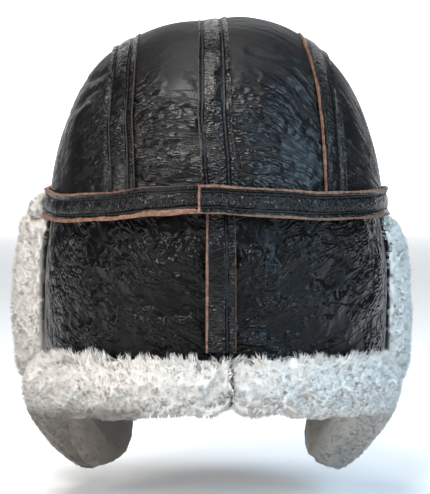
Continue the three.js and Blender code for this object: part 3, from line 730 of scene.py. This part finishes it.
skirt_leather = leather_material(
    "pebbled_black_leather",
    folds=(0.021, 0.008, 1.2),
    wrinkles=(0.0046, 0.0024, 0.4),
    pebbles=(0.0014, 0.0012, 0.05),
    gloss=0.19,
    shine=0.13,
)
for side, run in skirt_runs.items():
    skirt = copy_of("skirt_" + side, skirt_levels)
    points = values_of(skirt)
    normals = values_of(skirt, "normal")
    points[:, 2] += flap_edge_rise * smooth(points[:, 2], -0.13, -0.145)
    outer = outer_face(normals, unit(points * (1 / band_x**2, 1 / band_y**2, 0)))
    turn = np.arctan2(points[:, 0] / band_x, -points[:, 1] / band_y)
    along, across = leather_run(run, points, turn * band_x)
    form = crease_form(along, across, 53) * (0.5 + 0.5 * lumps(points, 0.03, 54))
    gathers = np.zeros(len(points))
    if side == "right":
        place = np.column_stack([turn * band_x, points[:, 2], np.zeros(len(points))])
        place[:, 0] += place[:, 1] * 0.35
        rows = np.sqrt(np.abs(lumps(place, (gather_width, 0.03, 0.1), 55)))
        fade = smooth(points[:, 2], -0.036, -0.014) * smooth(turn, 0.12, 0.3) * smooth(turn, 1.15, 0.9)
        gathers = gather_depth * (rows - 0.4) * fade
    swell = skirt_swell * lumps(points, 0.03, 56) + 0.0004 * lumps(points, 0.012, 57)
    move = (swell + bulge_depth * form * 0.6 + gathers) * outer
    move_points(skirt, points + normals * move[:, None])
    lay_skin(skirt, along, across)
    finish(skirt, "skirt_" + side, "panel_leather", skirt_leather)


# The neck strip. It is a raw-edged strip like those on the crown, stitched over the skirt's back seam
# from the band down to the wool, with a bright cut edge on its left and a thin pale one on its right.
# Only its right-hand groove and stitches show: a groove place below 0 lies off the strip.
neck_row = {"raw": (1.1, 0.3), "bright": (0.9, 0.15), "groove": (-3, 4.6), "wide": (1, 1.2)}

neck = copy_of("neck_strip", strip_levels)
points = values_of(neck)
normals = values_of(neck, "normal")
outer = smooth(-normals[:, 1], 0.3, 0.6)
share, width = share_across(points[:, 2], points[:, 0], 24)
press = mark_strip(neck, share, width, neck_row, outer)
curl = 0.0005 * smooth(np.abs(share), 0.86, 1.0)
swell = 0.0003 * lumps(points, 0.009, 61) * (1 - smooth(np.abs(share), 0.75, 0.95))
points = points + normals * (press + (swell + curl) * outer)[:, None]
move_points(neck, points)
lay_skin(neck, points[:, 0] * 0.8, points[:, 2])
finish(neck, "neck_strip", "strip_leather", strip_leather)
place = 1 - 2 * neck_row["groove"][1] / (np.median(width) * 1000)
neck_line = line_on(points, normals, outer > 0.9, points[:, 2], share, place, 60)
stitches("neck_stitches", [neck_line], stitch_pitch, stitch_length, 5)


# The wool trim. It is the sheepskin's own fleece turned out over the skirt's lower edge and round the
# ear flaps, combed up into a soft roll, in two runs that meet in a notch right of the middle. Its
# fibres gather into small locks; low on the flaps it is shorn short and greyed by painted shade.
# The root colour is painted shade between the fibres; the tip and blotch colours are the fleece's own
shaded_wool_root = (0.61, 0.575, 0.525, 1)
wool_tip = (0.665, 0.638, 0.592, 1)
wool_blotch = (0.63, 0.585, 0.54, 1)
# Painted shade on the shorn lower ear flaps
flap_shade_colour = (0.2, 0.175, 0.15, 1)
trim_levels = 2
lock_fibres = 14
lock_lean = 0.3
lock_gather = 0.35
fibre_turns = (0, 2 * math.pi / 3, 4 * math.pi / 3)
fibre_sunk = 0.0004
backing_reach = 0.0022
fleece_slope = 0.137


def wool_material(name, root, tip, blotch):
    """Fleece: darker between the fibres, towards their roots, which is painted shade, and paler at their
    ends, with faint blotches.
    """
    material = bpy.data.materials.new(name)
    material.use_nodes = True
    tree = material.node_tree
    shader = tree.nodes["Principled BSDF"]
    shade = Shade(tree)
    place = shade.node("TexCoord", output=3)
    along = attribute(shade, "fibre")
    tone = attribute(shade, "tone")
    blotches = place.noise(42.0, 3.0, 0.6).step(0.4, 0.68)
    ends = (blotches * 0.7 + tone * 0.15).tint(tip, blotch)
    # Painted shade: the grey attribute darkens the shorn flaps towards a shade colour
    colour = attribute(shade, "grey").tint(along.step(0.05, 0.75).tint(root, ends), flap_shade_colour)
    fluff = place.noise(900.0, 2.0, 0.7)
    bump = shade.node("Bump", {}, {"Height": fluff, "Distance": 0.0004, "Strength": 0.5})
    tree.links.new(colour.socket, shader.inputs["Base Color"])
    tree.links.new(bump.socket, shader.inputs["Normal"])
    shader.inputs["Roughness"].default_value = 0.9
    shader.inputs["Specular IOR Level"].default_value = 0.15
    shader.inputs["Sheen Weight"].default_value = 0.15
    return material


def evened(piece, rounds):
    """Evens out a fleece's coarse locks, so that its fibres make its form."""
    even = piece.modifiers.new("even", "SMOOTH")
    even.factor = 0.5
    even.iterations = rounds
    pick(piece)
    bpy.ops.object.modifier_apply(modifier=even.name)


def fleece_level(points):
    """Heights, counted along a line that falls towards the front as the roll of wool does."""
    return points[:, 2] + fleece_slope * points[:, 1]


def shorn_and_shade_share(points):
    """How far the fleece is shorn, and where painted shade greys it: all of it on the flaps, below the roll.
    """
    return smooth(fleece_level(points), -0.114, -0.1168) * smooth(np.abs(points[:, 0]), 0.038, 0.046)


def flap_shade_share(points):
    """How far painted shade greys the shorn wool: less so on the right flap."""
    return shorn_and_shade_share(points) * np.where(points[:, 0] > 0, 0.5, 1)


def grow_wool(piece, backing, fibres, length, width, comb, seed, pile=1, grey=0):
    """Covers a piece with fibres, pyramids with three sides each, that gather into locks. None grow where
    the piece lies on its backing. comb is how far up they are all combed. pile and grey give for each
    point the share of their length, and how far painted shade greys them."""
    rng = np.random.default_rng(seed)
    piece.data.calc_loop_triangles()
    corners = np.empty(len(piece.data.loop_triangles) * 3, np.int32)
    piece.data.loop_triangles.foreach_get("vertices", corners)
    corners = corners.reshape(-1, 3)
    points = values_of(piece)
    normals = values_of(piece, "normal")
    a, b, c = (points[corners[:, i]] for i in range(3))
    area = np.linalg.norm(np.cross(b - a, c - a), axis=1) / 2
    facing = unit(np.cross(b - a, c - a))
    middle = (a + b + c) / 3
    for node in backing:
        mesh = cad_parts[node].data
        places = [point.co for point in mesh.vertices]
        solid = BVHTree.FromPolygons(places, [face.vertices for face in mesh.polygons])
        for i, (place, normal) in enumerate(zip(middle, facing)):
            hit, _, _, distance = solid.find_nearest(place, backing_reach)
            if hit is not None and (np.array(hit) - place).dot(normal) > 0.85 * distance:
                area[i] = 0
    chosen = rng.choice(len(area), fibres, p=area / area.sum())
    s, t = rng.random((2, fibres))
    over = s + t > 1
    s[over], t[over] = 1 - s[over], 1 - t[over]
    weights = np.column_stack([1 - s - t, s, t])[:, :, None]
    root = (points[corners[chosen]] * weights).sum(axis=1)
    normal = unit((normals[corners[chosen]] * weights).sum(axis=1))
    pile = np.broadcast_to(pile, len(points))
    grey = np.broadcast_to(grey, len(points))
    root_length = length * (pile[corners[chosen]] * weights[:, :, 0]).sum(axis=1)
    fibre_flap_shade = (grey[corners[chosen]] * weights[:, :, 0]).sum(axis=1)
    reach = root_length * rng.uniform(0.7, 1.15, fibres) * (1 + 0.25 * lumps(root, 0.012, seed + 1))

    locks = rng.choice(fibres, fibres // lock_fibres, replace=False)
    tree = KDTree(len(locks))
    for i, lock in enumerate(locks):
        tree.insert(root[lock], i)
    tree.balance()
    nearest = np.array([tree.find(place)[1] for place in root])
    lock_heading = unit(normal[locks] + (0, 0, comb) + rng.normal(0, lock_lean, (len(locks), 3)))
    heading = unit(lock_heading[nearest] + normal * 0.3 + rng.normal(0, 0.35, (fibres, 3)))
    lock_length = root_length[locks] * rng.uniform(0.75, 1.2, len(locks))
    lock_tip = (root[locks] + lock_heading * lock_length[:, None])[nearest]
    tone = rng.random(len(locks))[nearest]

    tip = root + heading * reach[:, None]
    tip += (lock_tip - tip) * lock_gather
    run = tip - root
    ahead = unit(run)
    side = unit(np.cross(run, normal) + rng.normal(0, 1e-5, (fibres, 3)))
    over = np.cross(ahead, side)
    half = (width / 2 * rng.uniform(0.6, 1.3, fibres))[:, None]
    start = root - normal * fibre_sunk
    base = [start + half * (side * math.cos(turn) + over * math.sin(turn)) for turn in fibre_turns]
    fibre = np.stack(base + [tip], axis=1).reshape(-1, 3)
    soft = unit(normal * 0.8 + ahead * 0.2 + rng.normal(0, 0.1, (len(locks), 3))[nearest])
    first = len(points) + 4 * np.arange(fibres)
    sides = [np.column_stack([first + i, first + (i + 1) % 3, first + 3]) for i in range(3)]
    mesh = bpy.data.meshes.new("fleece")
    mesh.from_pydata(np.concatenate([points, fibre]), [], np.concatenate([corners] + sides))
    mesh.polygons.foreach_set("use_smooth", np.ones(len(mesh.polygons), bool))
    mesh.update()
    mesh.normals_split_custom_set_from_vertices(np.concatenate([normals, np.repeat(soft, 4, axis=0)]))
    old = piece.data
    piece.data = mesh
    bpy.data.meshes.remove(old)
    # fibre runs from the roots, which take the painted shade, to the ends
    ends = np.tile([0.1, 0.1, 0.1, 1.0], fibres)
    set_attribute(piece, "fibre", np.concatenate([np.full(len(points), 0.6), ends]))
    set_attribute(piece, "tone", np.concatenate([np.full(len(points), 0.5), np.repeat(tone, 4)]))
    # Painted shade on the shorn flaps, from the points to their fibres
    set_attribute(piece, "grey", np.concatenate([grey, np.repeat(fibre_flap_shade, 4)]))


# Fibres on each run, and their length, width and comb
trim_pile = (42000, 0.0046, 0.0007, 0.3)
trim_rounds = 24
trim_slimmer = 0.0013
flap_drop = 0.0022
seam_lap = 0.0012
notch_height = 0.0085

trim_wool = wool_material("cream_fleece", shaded_wool_root, wool_tip, wool_blotch)
for side, seed in (("left", 70), ("right", 80)):
    trim = copy_of("trim_" + side, trim_levels)
    inward = 1 if side == "left" else -1
    coarse = values_of(trim)
    seam_edge = np.abs(coarse[:, 0] - inward).min()
    low = shorn_and_shade_share(coarse)
    border = smooth(np.abs(coarse[:, 0]), 0.098, 0.104) * smooth(coarse[:, 2], -0.1, -0.09)
    kept = np.maximum(0.25 * low, 0.6 * border)[:, None]
    evened(trim, trim_rounds)
    points = values_of(trim)
    points += (coarse - points) * kept
    normals = values_of(trim, "normal")
    swell = 0.0009 * lumps(points, 0.016, seed) + 0.0006 * lumps(points, 0.007, seed + 1)
    points += normals * ((swell - trim_slimmer) * (1 - 0.8 * low))[:, None] * (1 - kept)
    points[:, 2] -= flap_drop * low
    top = smooth(points[:, 2], -0.02, -0.004) * smooth(-points[:, 0], 0.1, 0.106)
    points += top[:, None] * (-0.004, 0, 0.003)
    away = np.abs(points[:, 0] - inward) - seam_edge
    short = away.min()
    away -= short
    points[:, 0] += inward * (short + seam_lap) * smooth(away, 0.012, 0)
    lowest = points[away < 0.02, 2].min()
    notch = smooth(away, 0.014, -0.006) * smooth(points[:, 2], lowest + 0.02, lowest)
    points[:, 2] += notch_height * notch
    move_points(trim, points)
    pile = 0.62 + 0.6 * smooth(fleece_level(points), -0.1, -0.09)
    pile *= (1 - 0.5 * border) * (1 - 0.6 * low)
    grow_wool(trim, ["skirt_" + side], *trim_pile, seed, pile, flap_shade_share(coarse))
    finish(trim, "trim_" + side, "trim_wool", trim_wool)


# The wool inside. The same skin's fleece lines the skirt and the crown, pressed shorter by the head
# than the trim. It shows in the ear flaps from behind, where it is shorn like the trim round it and
# greyed by painted shade, and all over from the front and below.
# The root colour is painted shade between the fibres; the tip and blotch colours are the fleece's own
shaded_lining_root = (0.3, 0.26, 0.22, 1)
lining_tip = (0.74, 0.69, 0.63, 1)
lining_blotch = (0.6, 0.54, 0.48, 1)
lining_levels = 1
flap_swell = 0.004
left_flap_drop = 0.005

# Fibres on a half of the skirt and on the crown, and their length, width and comb
skirt_pile = (12000, 0.0032, 0.0012, -0.2)
crown_pile = (10000, 0.0032, 0.0012, -0.2)

lining_wool = wool_material("lining_fleece", shaded_lining_root, lining_tip, lining_blotch)
for node, backing, fleece, seed in (
    ("skirt_lining_left", ["skirt_left"], skirt_pile, 90),
    ("skirt_lining_right", ["skirt_right"], skirt_pile, 92),
    ("crown_lining", list(panel_creases), crown_pile, 94),
):
    lining = copy_of(node, lining_levels)
    points = values_of(lining)
    low = shorn_and_shade_share(points)
    points[:, 2] -= left_flap_drop * smooth(points[:, 2], -0.128, -0.144) * (points[:, 0] < 0)
    move_points(lining, points + values_of(lining, "normal") * (flap_swell * low)[:, None])
    grow_wool(lining, backing, *fleece, seed, 1 - 0.75 * low, flap_shade_share(points))
    finish(lining, node, "lining_wool", lining_wool)


# The brow trim. It is a strip of the same fleece turned up over the forehead, from the right temple to
# above the left ear, where its end stands out past the band.
brow_rounds = 6
brow_pile = (24000, 0.0034, 0.0007, 0.15)
brow_end_drop = 0.004
brow_swell = 0.0008
brow_slimmer = 0.001

brow = copy_of("brow_trim", trim_levels)
evened(brow, brow_rounds)
points = values_of(brow)
left_end = smooth(points[:, 2], 0.022, 0.006) * smooth(-points[:, 0], 0.092, 0.104)
points[:, 2] -= brow_end_drop * left_end
normals = values_of(brow, "normal")
swell = brow_swell * lumps(points, 0.012, 96) - brow_slimmer
move_points(brow, points + normals * swell[:, None])
grow_wool(brow, ["head_band", "crown_side_left", "crown_side_right"], *brow_pile, 97)
finish(brow, "brow_trim", "trim_wool", trim_wool)
